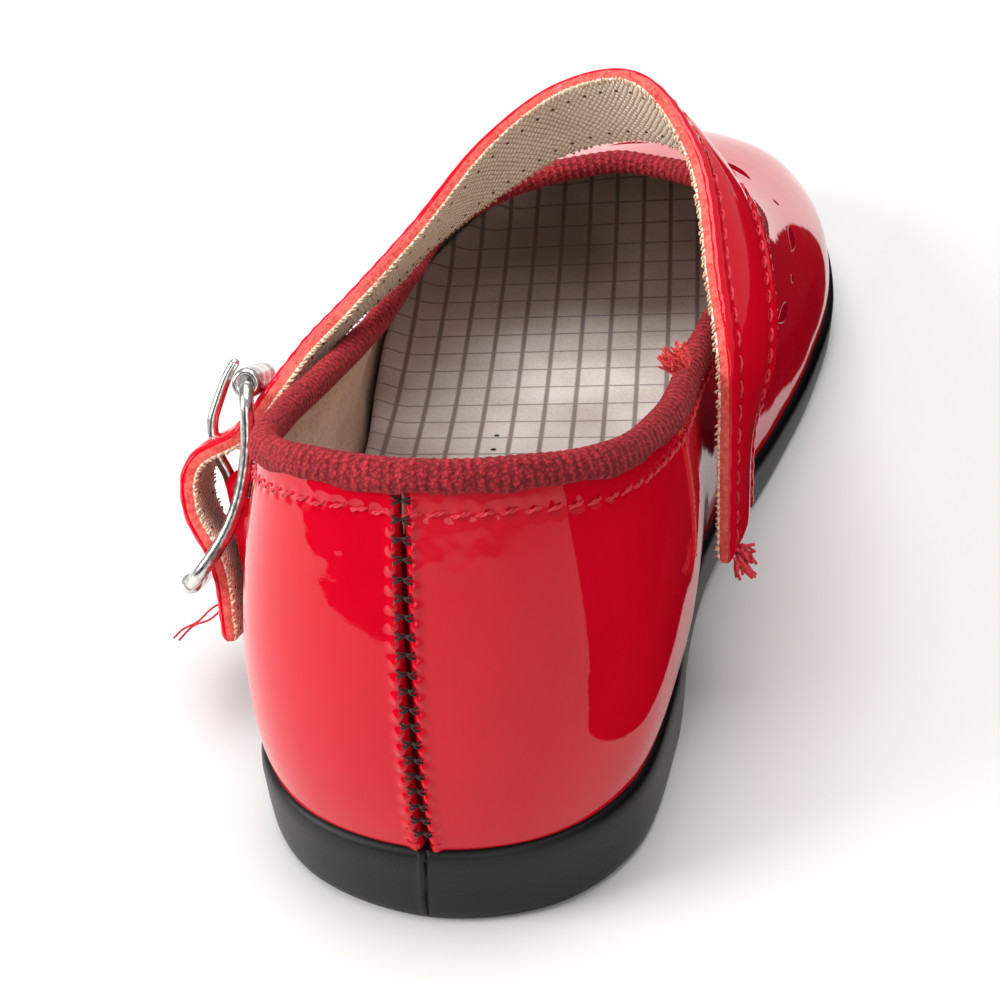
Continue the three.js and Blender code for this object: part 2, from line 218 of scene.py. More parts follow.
def upper_surface(u, v):
    """The outside of the upper: u runs round the shoe and v up each rib."""
    u, v = np.broadcast_arrays(np.asarray(u, float), np.asarray(v, float))
    foot = edge_point(u, -FOOT_INSET)
    foot[..., 2] = sole_top(foot[..., 1]) + GAP
    bend = KNEE_LINE.at(u)
    knee = edge_point(u, bend[..., 0])
    knee[..., 2] = bend[..., 1]
    v = v[..., None]
    return foot * (1 - v) ** 2 + knee * 2 * v * (1 - v) + RIM_LINE.at(u) * v * v


def upper_normal(u, v):
    step = 0.002
    v = np.asarray(v, float)
    round_the_shoe = upper_surface(u + step, v) - upper_surface(u - step, v)
    low, high = np.maximum(0, v - step), np.minimum(1, v + step)
    up_the_rib = upper_surface(u, high) - upper_surface(u, low)
    return unit(np.cross(up_the_rib, round_the_shoe))


def off_upper(u, v, outwards):
    outwards = np.asarray(outwards, float)[..., None]
    return upper_surface(u, v) + upper_normal(u, v) * outwards


def wall_at(v):
    return np.where(np.asarray(v) < SKIVE_FROM, UPPER_WALL, RIM_WALL)


RIB_SHARES = np.linspace(0, 1, 41)


def drops_down_rib(u):
    """Distances below the topline, measured along each rib, at RIB_SHARES."""
    ribs = upper_surface(np.asarray(u, float)[..., None], RIB_SHARES)
    steps = np.linalg.norm(np.diff(ribs, axis=-2), axis=-1)
    from_foot = np.concatenate([np.zeros_like(steps[..., :1]), np.cumsum(steps, axis=-1)], axis=-1)
    return from_foot[..., -1:] - from_foot


def rib_length(u):
    return drops_down_rib(u)[..., 0]


def rib_share(u, drop):
    """The share of a rib that lies a distance, measured along it, below the topline."""
    u, drop = np.broadcast_arrays(np.asarray(u, float), np.asarray(drop, float))
    table = drops_down_rib(u).reshape(-1, len(RIB_SHARES))
    shares = [np.interp(d, row[::-1], RIB_SHARES[::-1]) for d, row in zip(drop.ravel(), table)]
    return np.reshape(shares, u.shape)


def drops_at(u, v):
    """The drop below the topline at each share v (rows) of each rib u (columns)."""
    return np.stack([np.interp(v, RIB_SHARES, row) for row in drops_down_rib(u)], axis=-1)


def laid_round(count, crowding=0.75):
    """Shares round the shoe, closest together at the back seam."""
    even = np.arange(count) / count
    return even - crowding * np.sin(2 * math.pi * even) / (2 * math.pi)


def girth(u, drop):
    """Distance round the upper at a drop below the topline, up to each share of u."""
    points = upper_surface(u, rib_share(u, drop))
    steps = np.linalg.norm(np.diff(points, axis=0), axis=-1)
    return np.concatenate([[0], np.cumsum(steps)])


# ---- Node materials ----
def linear(colour):
    """An sRGB hex colour as a linear colour with alpha."""
    parts = [int(colour[i:i + 2], 16) / 255 for i in (1, 3, 5)]
    curve = [c / 12.92 if c <= 0.04045 else ((c + 0.055) / 1.055) ** 2.4 for c in parts]
    return (*curve, 1)


# What each kind of node calls its mode
MODES = {"Math": "operation", "VectorMath": "operation", "Mix": "data_type",
         "MapRange": "interpolation_type"}


def feed(node, *values, **named):
    """Feeds a node's inputs, in order or by name, from plain values, sockets or other nodes."""
    pairs = list(zip(node.inputs, values))
    for name, value in named.items():
        pairs.append((next(socket for socket in node.inputs
                           if name in (socket.identifier, socket.name.replace(" ", "_"))), value))
    for socket, value in pairs:
        if isinstance(value, bpy.types.Node):
            value = value.outputs[0]
        if isinstance(value, bpy.types.NodeSocket):
            node.id_data.links.new(value, socket)
        else:
            socket.default_value = value
    return node


def add(tree, kind, mode=None, *values, **named):
    """Adds a node in a mode, such as a Math node's operation, and feeds its inputs."""
    node = tree.nodes.new("ShaderNode" + kind)
    if mode:
        setattr(node, MODES[kind], mode)
    return feed(node, *values, **named)


def per_metre(size_mm):
    """A pattern's scale on coordinates in metres, for marks of this many millimetres."""
    return 1000 / size_mm


def new_material(name):
    material = bpy.data.materials.new(name)
    material.use_nodes = True
    tree = material.node_tree
    shader = tree.nodes["Principled BSDF"]
    place = add(tree, "TexCoord").outputs["Object"]
    return material, tree, shader, place


def patent_leather():
    """Split leather under a thick clear film: deep red with sharp, slightly wavy reflections."""
    material, tree, shader, place = new_material("patent_leather_red")
    film = add(tree, "TexNoise", None, place, Scale=per_metre(9))
    grain = add(tree, "TexNoise", None, place, Scale=per_metre(0.45))
    colour = add(tree, "Mix", "RGBA", film, A_Color=linear("#bd031b"), B_Color=linear("#cb0723")).outputs[2]
    feed(shader, Roughness=0.42, Specular_IOR_Level=0.0, Coat_Weight=1.0, Coat_Roughness=0.03,
         Coat_IOR=1.38)
    ripple = add(tree, "Math", "MULTIPLY", film, 3.0)
    height = add(tree, "Math", "MULTIPLY_ADD", grain, 0.2, ripple)
    return material, tree, shader, colour, height


def plain_patent():
    material, tree, shader, colour, height = patent_leather()
    skin = add(tree, "Bump", None, Height=height, Distance=FILM_DEPTH * MM)
    feed(shader, Base_Color=colour, Normal=skin, Coat_Normal=skin)
    return material


def upper_patent():
    """The same patent on the upper, with its punched pattern and puckers along its stitching.

    The UV map is in millimetres: along the topline from the back seam, and down from it.
    """
    material, tree, shader, colour, height = patent_leather()
    material.name = "patent_leather_upper"
    along, drop = add(tree, "SeparateXYZ", None, add(tree, "UVMap")).outputs[:2]
    from_seam = add(tree, "Math", "PINGPONG", along, UPPER_GIRTH / 2)
    from_toe = add(tree, "Math", "SUBTRACT", UPPER_GIRTH / 2, from_seam)

    # Teardrops and dots, punched by turns round the throat
    below = add(tree, "Math", "SUBTRACT", drop, PERFORATION_DROP)
    shifted = add(tree, "Math", "ADD", from_toe, PERFORATION_PITCH / 2)
    cell = add(tree, "Math", "FLOORED_MODULO", shifted, PERFORATION_PITCH)
    local = add(tree, "Math", "SUBTRACT", cell, PERFORATION_PITCH / 2)
    turned, crossed = math.cos(TEARDROP_TURN), math.sin(TEARDROP_TURN)
    ahead = add(tree, "Math", "ADD", add(tree, "Math", "MULTIPLY", local, turned),
                add(tree, "Math", "MULTIPLY", below, -crossed))
    aside = add(tree, "Math", "ADD", add(tree, "Math", "MULTIPLY", local, crossed),
                add(tree, "Math", "MULTIPLY", below, turned))
    length = add(tree, "Math", "MULTIPLY_ADD", ahead, -1 / TEARDROP_LENGTH, 0.5)
    left = add(tree, "Math", "MAXIMUM", add(tree, "Math", "SUBTRACT", 1.0, length), 0.0)
    blunt = add(tree, "Math", "SQRT", left)
    broad = add(tree, "Math", "MULTIPLY", length, TEARDROP_BREADTH)
    half_width = add(tree, "Math", "MULTIPLY", broad, blunt)
    inside = add(tree, "Math", "SUBTRACT", half_width, add(tree, "Math", "ABSOLUTE", aside))
    teardrop = add(tree, "MapRange", "SMOOTHSTEP", inside, 0.0, 0.22)
    other_cell = add(tree, "Math", "FLOORED_MODULO", from_toe, PERFORATION_PITCH)
    other = add(tree, "Math", "SUBTRACT", other_cell, PERFORATION_PITCH / 2)
    squares = add(tree, "Math", "ADD", add(tree, "Math", "POWER", other, 2.0),
                  add(tree, "Math", "POWER", below, 2.0))
    reach = add(tree, "Math", "SQRT", squares)
    dot = add(tree, "Math", "SUBTRACT", 1.0, add(tree, "MapRange", "SMOOTHSTEP", reach, 0.55, 0.75))
    behind = add(tree, "MapRange", "SMOOTHSTEP", from_toe, 61.0, 62.0)
    on_vamp = add(tree, "Math", "SUBTRACT", 1.0, behind)
    holes = add(tree, "Math", "MAXIMUM", teardrop, dot)
    punched = add(tree, "Math", "MULTIPLY", holes, on_vamp)

    # Puckers: the film is pulled down at each stitch of the row below the binding
    row = add(tree, "Math", "SUBTRACT", drop, ROW_DROP)
    fall = add(tree, "Math", "MULTIPLY", add(tree, "Math", "POWER", row, 2.0), -1.6)
    row_dip = add(tree, "Math", "EXPONENT", fall)
    beat = add(tree, "Math", "SINE", add(tree, "Math", "MULTIPLY", along, 2 * math.pi / STITCH_PITCH))
    pucker = add(tree, "Math", "MULTIPLY", row_dip, add(tree, "Math", "MULTIPLY_ADD", beat, -4.0, -9.0))

    # Creases gather where the row of stitches runs into the back seam
    past_seam = add(tree, "MapRange", "SMOOTHSTEP", from_seam, 6.0, 17.0)
    past_row = add(tree, "MapRange", "SMOOTHSTEP", drop, 8.0, 13.0)
    mask = add(tree, "Math", "MULTIPLY", add(tree, "Math", "SUBTRACT", 1.0, past_seam),
               add(tree, "Math", "SUBTRACT", 1.0, past_row))
    place = add(tree, "TexCoord").outputs["Object"]
    crease = add(tree, "TexNoise", None, place, Scale=per_metre(3.4), Detail=1.0)
    creased = add(tree, "Math", "MULTIPLY", add(tree, "Math", "MULTIPLY", mask, crease), 13.0)
    height = add(tree, "Math", "ADD", add(tree, "Math", "ADD", height, pucker), creased)
    height = add(tree, "Math", "MULTIPLY_ADD", punched, -30.0, height)

    # Down the seam the film ends at the turned edges, which are dull; the dark colour there is painted
    # shade in the gap between the quarters
    film_edge = add(tree, "MapRange", "SMOOTHSTEP", from_seam, 0.15, 0.5)
    bare_shaded_seam = add(tree, "Math", "MULTIPLY", add(tree, "Math", "SUBTRACT", 1.0, film_edge),
                  add(tree, "MapRange", "SMOOTHSTEP", drop, 1.5, 3.0))
    bare = add(tree, "Math", "MAXIMUM", punched, bare_shaded_seam)
    # The holes are bare leather, dull and without the film; their darker red is painted shade inside the
    # holes.
    colour = add(tree, "Mix", "RGBA", punched, A_Color=colour, B_Color=linear("#8c0416")).outputs[2]
    # Painted shade: the dark red-brown of the seam's gap
    colour = add(tree, "Mix", "RGBA", bare_shaded_seam, A_Color=colour, B_Color=linear("#4a0a10")).outputs[2]
    skin = add(tree, "Bump", None, Height=height, Distance=FILM_DEPTH * MM)
    feed(shader, Coat_Weight=add(tree, "Math", "SUBTRACT", 1.0, bare), Base_Color=colour,
         Normal=skin, Coat_Normal=skin)
    return material


def cloth(name, dark, light, size_mm, depth_mm, roughness=0.9):
    """A matt, finely mottled cloth or suede."""
    material, tree, shader, place = new_material(name)
    fibres = add(tree, "TexNoise", None, place, Scale=per_metre(size_mm), Detail=3, Roughness=0.7)
    blotches = add(tree, "TexNoise", None, place, Scale=per_metre(7))
    fine = add(tree, "Math", "MULTIPLY", fibres, 0.75)
    mixed = add(tree, "Math", "MULTIPLY_ADD", blotches, 0.35, fine)
    tone = add(tree, "MapRange", "SMOOTHSTEP", mixed, 0.3, 0.8)
    colour = add(tree, "Mix", "RGBA", tone, A_Color=linear(dark), B_Color=linear(light)).outputs[2]
    feed(shader, Base_Color=colour, Roughness=roughness, Specular_IOR_Level=0.2, Sheen_Weight=0.15,
         Normal=add(tree, "Bump", None, Height=fibres, Distance=depth_mm * MM))
    return material


def ribbed_tape():
    """Grosgrain tape of spun thread: dark red, with painted light on the tops of its ribs, painted shade in
    the hollows between them, and a fuzzy sheen.

    The UV map is in millimetres: along the tape, and round it.
    """
    material, tree, shader, place = new_material("grosgrain_tape_dark_red")
    along = add(tree, "SeparateXYZ", None, add(tree, "UVMap")).outputs[0]
    wander = add(tree, "TexNoise", None, place, Scale=per_metre(2.2), Detail=1)
    along = add(tree, "Math", "MULTIPLY_ADD", wander, 0.9, along)
    rib = add(tree, "Math", "SINE", add(tree, "Math", "MULTIPLY", along, 2 * math.pi / RIB_PITCH))
    loops = add(tree, "TexVoronoi", None, place, Scale=per_metre(0.42))
    fuzz = add(tree, "TexNoise", None, place, Scale=per_metre(0.3), Detail=3, Roughness=0.75)
    wear = add(tree, "TexNoise", None, place, Scale=per_metre(6))
    weave = add(tree, "Math", "MULTIPLY_ADD", loops, -0.75, add(tree, "Math", "MULTIPLY", rib, 0.16))
    weave = add(tree, "Math", "MULTIPLY_ADD", fuzz, 0.8, weave)
    # The colour follows the weave's relief: lighter rib and loop tops and darker hollows are painted light
    # and shade, over random wear.
    wear_and_relief = add(tree, "Math", "MULTIPLY_ADD", wear, 0.3, weave)
    tone = add(tree, "MapRange", "SMOOTHSTEP", wear_and_relief, -0.1, 0.75)
    colour = add(tree, "Mix", "RGBA", tone, A_Color=linear("#6d0614"), B_Color=linear("#c22a35")).outputs[2]
    feed(shader, Base_Color=colour, Roughness=0.8, Specular_IOR_Level=0.3, Sheen_Weight=0.12,
         Sheen_Tint=linear("#ff7a70"), Normal=add(tree, "Bump", None, Height=weave, Distance=0.3 * MM))
    return material


def woven_backing():
    """The strap's undyed backing: cream yarns that cross on the bias, one every 0.85 mm.

    The UV map is in millimetres: across the strap, and along it.
    """
    material, tree, shader, place = new_material("cotton_twill_cream")
    across, along = add(tree, "SeparateXYZ", None, add(tree, "UVMap")).outputs[:2]
    uneven = add(tree, "TexNoise", None, place, Scale=per_metre(2.5), Detail=1)
    wobble = add(tree, "Math", "MULTIPLY", uneven, 0.7)

    def yarns(slope, pitch):
        """A set of parallel yarns, slanting across the strap."""
        slant = add(tree, "Math", "MULTIPLY_ADD", across, slope, along)
        slant = add(tree, "Math", "ADD", slant, wobble)
        return add(tree, "Math", "SINE", add(tree, "Math", "MULTIPLY", slant, 2 * math.pi / pitch))

    crossing = add(tree, "Math", "MULTIPLY", yarns(0.75, 1.7), yarns(-0.75, 1.7))
    weave = add(tree, "Math", "MULTIPLY_ADD", add(tree, "Math", "ABSOLUTE", crossing), 0.75,
                add(tree, "Math", "MULTIPLY", crossing, 0.12))
    fuzz = add(tree, "TexNoise", None, place, Scale=per_metre(0.28), Detail=3, Roughness=0.7)
    weave = add(tree, "Math", "MULTIPLY_ADD", fuzz, 0.5, weave)
    soil = add(tree, "TexNoise", None, place, Scale=per_metre(9))
    # The colour follows the weave's relief: the darker gaps between the yarns are painted shade, over
    # random soil.
    soil_and_weave_shade = add(tree, "Math", "MULTIPLY_ADD", soil, 0.25, weave)
    tone = add(tree, "MapRange", "SMOOTHSTEP", soil_and_weave_shade, 0.2, 0.85)
    colour = add(tree, "Mix", "RGBA", tone, A_Color=linear("#b08c69"), B_Color=linear("#fbeedb")).outputs[2]
    feed(shader, Base_Color=colour, Roughness=0.95, Specular_IOR_Level=0.15,
         Normal=add(tree, "Bump", None, Height=weave, Distance=0.25 * MM))
    return material


def printed_insole():
    """Brushed synthetic sock with a printed grid: taupe and stained, and darker towards the toe with
    painted shade.
    """
    material, tree, shader, place = new_material("brushed_microfibre_taupe")
    turned = add(tree, "Mapping", None, place, Rotation=(0, 0, math.radians(-8)))
    split = add(tree, "SeparateXYZ", None, turned)
    fibre = add(tree, "TexNoise", None, place, Scale=per_metre(0.35), Detail=3, Roughness=0.75)
    patches = add(tree, "TexNoise", None, place, Scale=per_metre(14))

    def lines(axis, pitch, width, soft):
        """Printed lines across one axis, with a ragged edge; sizes in mm."""
        ragged = add(tree, "Math", "MULTIPLY_ADD", fibre, 0.12 * MM, split.outputs[axis])
        nearest = add(tree, "Math", "PINGPONG", ragged, pitch * MM / 2)
        off_line = add(tree, "MapRange", "SMOOTHSTEP", nearest, (width - soft) / 2 * MM,
                       (width + soft) / 2 * MM)
        return add(tree, "Math", "SUBTRACT", 1.0, off_line)

    printed = add(tree, "Math", "MAXIMUM", add(tree, "Math", "MULTIPLY", lines(0, 4.0, 0.62, 0.3), 0.8),
                  add(tree, "Math", "MULTIPLY", lines(1, 4.75, 0.34, 0.26), 0.72))
    forward = add(tree, "SeparateXYZ", None, place).outputs[1]
    toe_shade = add(tree, "MapRange", "SMOOTHSTEP", forward, -0.03, -0.1)
    flat = add(tree, "VectorMath", "MULTIPLY", place, (1, 1, 0))

    def spot(x, y, clear, full):
        """A mark that fades from full at one radius to nothing at another; sizes in mm."""
        gap = add(tree, "VectorMath", "DISTANCE", flat, (x * MM, y * MM, 0)).outputs["Value"]
        off_mark = add(tree, "MapRange", "SMOOTHSTEP", gap, full * MM, clear * MM)
        return add(tree, "Math", "SUBTRACT", 1.0, off_mark)

    stain = add(tree, "Math", "MULTIPLY", spot(12, -103, 17, 2), 0.6)
    specks = add(tree, "Math", "MAXIMUM", spot(9.1, -52.2, 0.45, 0.25), spot(8.6, -48.1, 0.5, 0.28))
    wear_and_relief = add(tree, "Math", "MULTIPLY_ADD", patches, 0.7, add(tree, "Math", "MULTIPLY", fibre, 0.45))
    tone = add(tree, "MapRange", "SMOOTHSTEP", wear_and_relief, 0.3, 0.85)
    ground = linear("#b4a8a2")
    # Each layer covers the ones before it: how much of it shows, and its colour. The layer that darkens
    # towards the toe is painted shade under the vamp.
    for share, colour in ((tone, "#e4dcd8"), (add(tree, "Math", "MULTIPLY", toe_shade, 0.16), "#86766e"),
                          (stain, "#6d5246"), (printed, "#6b5a57"), (specks, "#120e0d")):
        ground = add(tree, "Mix", "RGBA", share, A_Color=ground, B_Color=linear(colour)).outputs[2]
    feed(shader, Base_Color=ground, Roughness=0.9, Specular_IOR_Level=0.2, Sheen_Weight=0.2,
         Normal=add(tree, "Bump", None, Height=fibre, Distance=0.06 * MM))
    return material


def moulded_rubber():
    """Injection-moulded thermoplastic rubber: near black, satin, with a fine mould texture."""
    material, tree, shader, place = new_material("thermoplastic_rubber_black")
    cloudy = add(tree, "TexNoise", None, place, Scale=per_metre(16), Detail=3)
    colour = add(tree, "Mix", "RGBA", cloudy, A_Color=linear("#040405"),
                 B_Color=linear("#0d0e10")).outputs[2]
    texture = add(tree, "TexNoise", None, place, Scale=per_metre(0.5))
    feed(shader, Base_Color=colour, Specular_IOR_Level=0.36,
         Roughness=add(tree, "MapRange", None, cloudy, To_Min=0.34, To_Max=0.5),
         Normal=add(tree, "Bump", None, Height=texture, Distance=0.03 * MM))
    return material


def plated_alloy():
    """Cast buckle alloy with a worn silver plate: bright where clean, grey where dirt sits, in random
    patches.
    """
    material, tree, shader, place = new_material("silver_plated_alloy")
    dirt = add(tree, "TexNoise", None, place, Scale=per_metre(2.2), Detail=3, Roughness=0.6)
    clean = add(tree, "MapRange", "SMOOTHSTEP", dirt, 0.3, 0.55)
    colour = add(tree, "Mix", "RGBA", clean, A_Color=linear("#8d8a84"),
                 B_Color=linear("#dddcd8")).outputs[2]
    feed(shader, Base_Color=colour, Metallic=1.0,
         Roughness=add(tree, "MapRange", None, dirt, To_Min=0.34, To_Max=0.12),
         Normal=add(tree, "Bump", None, Height=dirt, Distance=0.02 * MM))
    return material


# ---- Modelling helpers ----
def select(*pieces):
    """Selects only these pieces, the last one active."""
    bpy.ops.object.select_all(action="DESELECT")
    for piece in pieces:
        piece.select_set(True)
        bpy.context.view_layer.objects.active = piece


def tidy_shell():
    """Joins doubled points of the active mesh and turns its faces outwards."""
    bpy.ops.object.mode_set(mode="EDIT")
    bpy.ops.mesh.select_all(action="SELECT")
    bpy.ops.mesh.remove_doubles(threshold=1e-6)
    bpy.ops.mesh.normals_make_consistent(inside=False)
    bpy.ops.object.mode_set(mode="OBJECT")


def loft(name, rings, uv=None, joined=False):
    """A grid over rings of points, rows by points by 3. A joined loft's last ring meets its first."""
    rings = np.concatenate([rings, rings[:, :1]], axis=1)
    if joined:
        rings = np.concatenate([rings, rings[:1]], axis=0)
    rows, columns = rings.shape[:2]
    select()
    bpy.ops.mesh.primitive_grid_add(x_subdivisions=columns - 1, y_subdivisions=rows - 1, size=1)
    piece = bpy.context.object
    piece.name = name
    mesh = piece.data
    mesh.name = name
    mesh.vertices.foreach_set("co", (rings * MM).astype(np.float32).ravel())
    if uv is not None:
        corner = np.zeros(len(mesh.loops), int)
        mesh.loops.foreach_get("vertex_index", corner)
        mesh.uv_layers[0].data.foreach_set("uv", uv.reshape(-1, 2)[corner].astype(np.float32).ravel())
    tidy_shell()
    bpy.ops.object.shade_smooth()
    return piece


def thread(name, lines, thickness, material, smooth_ends=False):
    """Many short round threads as one piece. Each line is a list of points; thickness in mm."""
    curve = bpy.data.curves.new(name, "CURVE")
    curve.dimensions = "3D"
    curve.bevel_depth = thickness / 2 * MM
    curve.bevel_resolution = 1
    curve.use_fill_caps = True
    for line in lines:
        spline = curve.splines.new("POLY")
        spline.points.add(len(line) - 1)
        for index, (point, knot) in enumerate(zip(line, spline.points)):
            knot.co = (*(np.asarray(point) * MM), 1)
            at_end = index in (0, len(line) - 1)
            knot.radius = 0.35 if smooth_ends and at_end else 1.0
    piece = bpy.data.objects.new(name, curve)
    bpy.context.scene.collection.objects.link(piece)
    select(piece)
    bpy.ops.object.convert(target="MESH")
    piece = bpy.context.object
    bpy.ops.object.shade_smooth()
    dress(piece, material)
    return piece


def dress(piece, *materials):
    piece.data.materials.clear()
    for material in materials:
        piece.data.materials.append(material)


def hand_in(piece, slot, *nodes):
    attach(piece, "root")
    if nodes:
        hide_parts(*nodes)


def centre_line(ring):
    """The line midway between a ring's two sides, as a ring that its skin closes on."""
    return (ring + np.roll(ring[::-1], 1, axis=0)) / 2


# ---- Outsole ----
def outsole(material):
    """A moulded unit: flat tread, rounded foot edge, upright side and a lip round the upper."""
    u = laid_round(420)
    profile = np.array([
        [-4, 0], [-1.5, 0], [-1.0, 0.02], [-0.65, 0.07], [-0.42, 0.16], [-0.2, 0.42], [-0.06, 0.7],
        [0, 0.8], [-0.04, 0.87], [-0.16, 0.93], [-0.34, 0.97], [-0.8, 1], [-4, 1],
    ])
    rings = []
    for outwards, share in profile:
        ring = edge_point(u, outwards)
        low, high = tread_height(ring[:, 1]), sole_top(ring[:, 1])
        ring[:, 2] = low + (high - low) * share
        if 0.1 < share < 0.99:
            from_line = ring[:, 0] - 0.8 * (1 - share)
            flash = 0.22 * np.exp(-((from_line - 0.5) / 0.28) ** 2)
            crack = 0.35 * np.exp(-(from_line / 0.16) ** 2)
            ring[:, 1] += (flash - crack) * (ring[:, 1] > 0)
        rings.append(ring)
    rings = [centre_line(rings[0]), *rings, centre_line(rings[-1])]
    for end in (0, -1):
        inner = rings[end]
        inner[:, 2] = (tread_height if end == 0 else sole_top)(inner[:, 1])
    sole = loft("sole_unit", np.array(rings))
    bars = []
    for first, last, pitch, inner_reach, outer_reach in GROOVE_ROWS:
        for along in range(first, last + 1, pitch):
            select()
            middle = ((outer_reach - inner_reach) / 2 * MM, (HEEL_BACK - along) * MM, 0)
            bpy.ops.mesh.primitive_cube_add(size=1, location=middle)
            bar = bpy.context.object
            bar.scale = ((inner_reach + outer_reach) * MM, GROOVE_SIZE * MM, GROOVE_SIZE * MM)
            bpy.ops.object.transform_apply(location=True, rotation=True, scale=True)
            bars.append(bar)
    select(*reversed(bars))
    bpy.ops.object.join()
    cutter = bpy.context.object
    select(sole)
    cut = sole.modifiers.new("grooves", "BOOLEAN")
    cut.operation = "DIFFERENCE"
    cut.solver = "EXACT"
    cut.object = cutter
    bpy.ops.object.modifier_apply(modifier=cut.name)
    bpy.data.objects.remove(cutter)
    bpy.ops.object.shade_smooth_by_angle(angle=math.radians(38))
    dress(sole, material)
    hand_in(sole, "sole_rubber", "outsole")


# ---- Insole ----
def inside_upper(u, inwards, height):
    """Where a surface that far inside the upper reaches a height."""
    low, high = np.zeros_like(u), np.full_like(u, 0.6)
    for _ in range(16):
        middle = (low + high) / 2
        below = off_upper(u, middle, -inwards)[..., 2] < height
        low, high = np.where(below, middle, low), np.where(below, high, middle)
    return off_upper(u, low, -inwards)


def insole(material):
    """The sock on its board: a cupped edge that turns up against the lining."""
    u = laid_round(300, 0.3)
    floor = upper_surface(u, 0)[:, 2]
    steps = [(1.4, 0), (0.2, 1.6), (0.1, 4.1), (0.3, 4.5), (0.8, 4.62), (1.5, 4.35), (2.8, 3.8),
             (4.6, 3.42), (7, INSOLE_THICKNESS)]
    rings = []
    for inwards, height in steps:
        ring = inside_upper(u, UPPER_WALL + 1.5 * GAP, floor + height)
        drawn_in = inwards + 0.35 * smooth(ring[:, :1], 5, 18)
        ring = ring + (edge_point(u, -1) - edge_point(u, 0)) * drawn_in
        ring[:, 2] = floor + height
        rings.append(ring)
    rings = [centre_line(rings[0]), *rings, centre_line(rings[-1])]
    sock = loft("insole_sock", np.array(rings))
    dress(sock, material)
    hand_in(sock, "insole_cloth", "insole")


# ---- Upper ----
def seam_relief(drop, girth_here, whole):
    """Height of the skin at the back seam: a deep valley between two rolled, scalloped edges."""
    from_seam = np.minimum(girth_here, whole - girth_here)[None, :]
    beat = np.cos(2 * math.pi * (drop - SEAM_START) / SEAM_PITCH)
    valley = -0.95 * np.exp(-(from_seam / 0.48) ** 2)
    roll = 0.3 * np.exp(-((from_seam - 1.05) / 0.62) ** 2) * (1 - 0.75 * beat)
    return (valley + roll) * smooth(drop, 1.2, 2.6)


def upper(outer_material, lining_material):
    """One shell: patent outside, skived rim under the tape, pigskin lining inside."""
    u = laid_round(UPPER_STATIONS)
    rise = np.linspace(0, 1, 120)
    sink = np.concatenate([[1.0, 0.97, 0.94, 0.91, 0.885], np.linspace(0.86, 0, 14)])
    run = girth(np.append(u, 1.0), PERFORATION_DROP)
    relief = seam_relief(drops_at(u, rise), run[:-1], run[-1])
    outside = off_upper(u[None, :], rise[:, None], relief)
    depth = UPPER_WALL + (RIM_WALL - UPPER_WALL) * smooth(sink, 0.84, 0.9)
    inside = off_upper(u[None, :], sink[:, None], -depth[:, None] * np.ones_like(u)[None, :])
    inside[-1, :, 2] = outside[0, :, 2]
    rings = np.concatenate([outside, inside])
    heights = np.concatenate([rise, sink, rise[:1]])
    drops = drops_at(np.append(u, 1.0), heights)
    uv = np.stack(np.broadcast_arrays(run[None, :], drops), axis=-1)
    shell = loft("upper_shell", rings, uv, joined=True)
    dress(shell, outer_material, lining_material)
    # Every row of faces past the outside's last ring is lining.
    columns = len(u)
    for face in shell.data.polygons:
        row = face.index // columns
        face.material_index = 1 if row >= len(rise) - 1 else 0
    hand_in(shell, "patent_upper", "upper")


# ---- Topline binding ----
def binding(material):
    """Puffy tape folded over the rim, its ribs across it, with a wavy lower edge."""
    count = 1400
    u = np.arange(count) / count
    run = girth(np.append(u, 1.0), 0)
    up = unit(upper_surface(u, 1) - upper_surface(u, 0.97))
    normal = upper_normal(u, 1)
    middle = off_upper(u, np.ones_like(u), np.full_like(u, -RIM_WALL / 2))
    rib = 0.06 * np.cos(2 * math.pi * run[:-1] / RIB_PITCH)
    swell = 0.1 * np.sin(run[:-1] / 3.1) + 0.08 * np.sin(run[:-1] / 1.7 + 1)
    ragged = 0.16 * np.sin(run[:-1] / 2.3) + 0.1 * np.sin(run[:-1] / 0.9 + 2)
    # (distance below the topline, distance off the skin)
    leg = [(BINDING_DROP, 0.08), (BINDING_DROP + 0.1, 0.35), (BINDING_DROP - 0.05, 0.7),
           (BINDING_DROP - 0.45, 0.98), (BINDING_DROP - 0.9, 1.1), (0.6, 1.08), (0.2, 1.0)]
    rings = []
    for drop, lift in leg:
        share = rib_share(u, drop + ragged * (drop > 1.8))
        rings.append(off_upper(u, share, lift + (rib + swell * 0.6) * (lift > 0.3)))
    for angle in np.radians([25, 55, 90, 125, 155]):
        radius = (RIM_WALL / 2 + 0.98 + rib + swell * 0.4)[:, None]
        rings.append(middle + radius * (math.cos(angle) * normal + math.sin(angle) * up))
    for drop, lift in reversed(leg):
        share = rib_share(u, drop)
        inner = np.maximum(-wall_at(share) - lift - rib * (lift > 0.3), -UPPER_WALL - 1.15)
        rings.append(off_upper(u, share, inner))
    for drop in (BINDING_DROP, 1.2):
        share = rib_share(u, drop)
        rings.append(off_upper(u, share, -RIM_WALL - 0.1 - 0 * u))
    rings.append(middle + up * 0.25)
    rings.append(off_upper(u, rib_share(u, 1.2), 0.08 + 0 * u))
    rings = np.array(rings)
    steps = np.linalg.norm(np.diff(rings[:, 0], axis=0), axis=-1)
    rows = np.concatenate([[0], np.cumsum(steps), [steps.sum() + 1]])
    uv = np.stack(np.broadcast_arrays(run[None, :], rows[:, None]), axis=-1)
    tape = loft("topline_tape", rings, uv, joined=True)
    dress(tape, material)
    hand_in(tape, "binding_tape", "topline_binding")


# ---- Strap ----
HEEL_SIDE = SmoothCurve(STRAP_BENDS[:, :3], False)
TOE_SIDE = SmoothCurve(STRAP_BENDS[:, 3:], False)


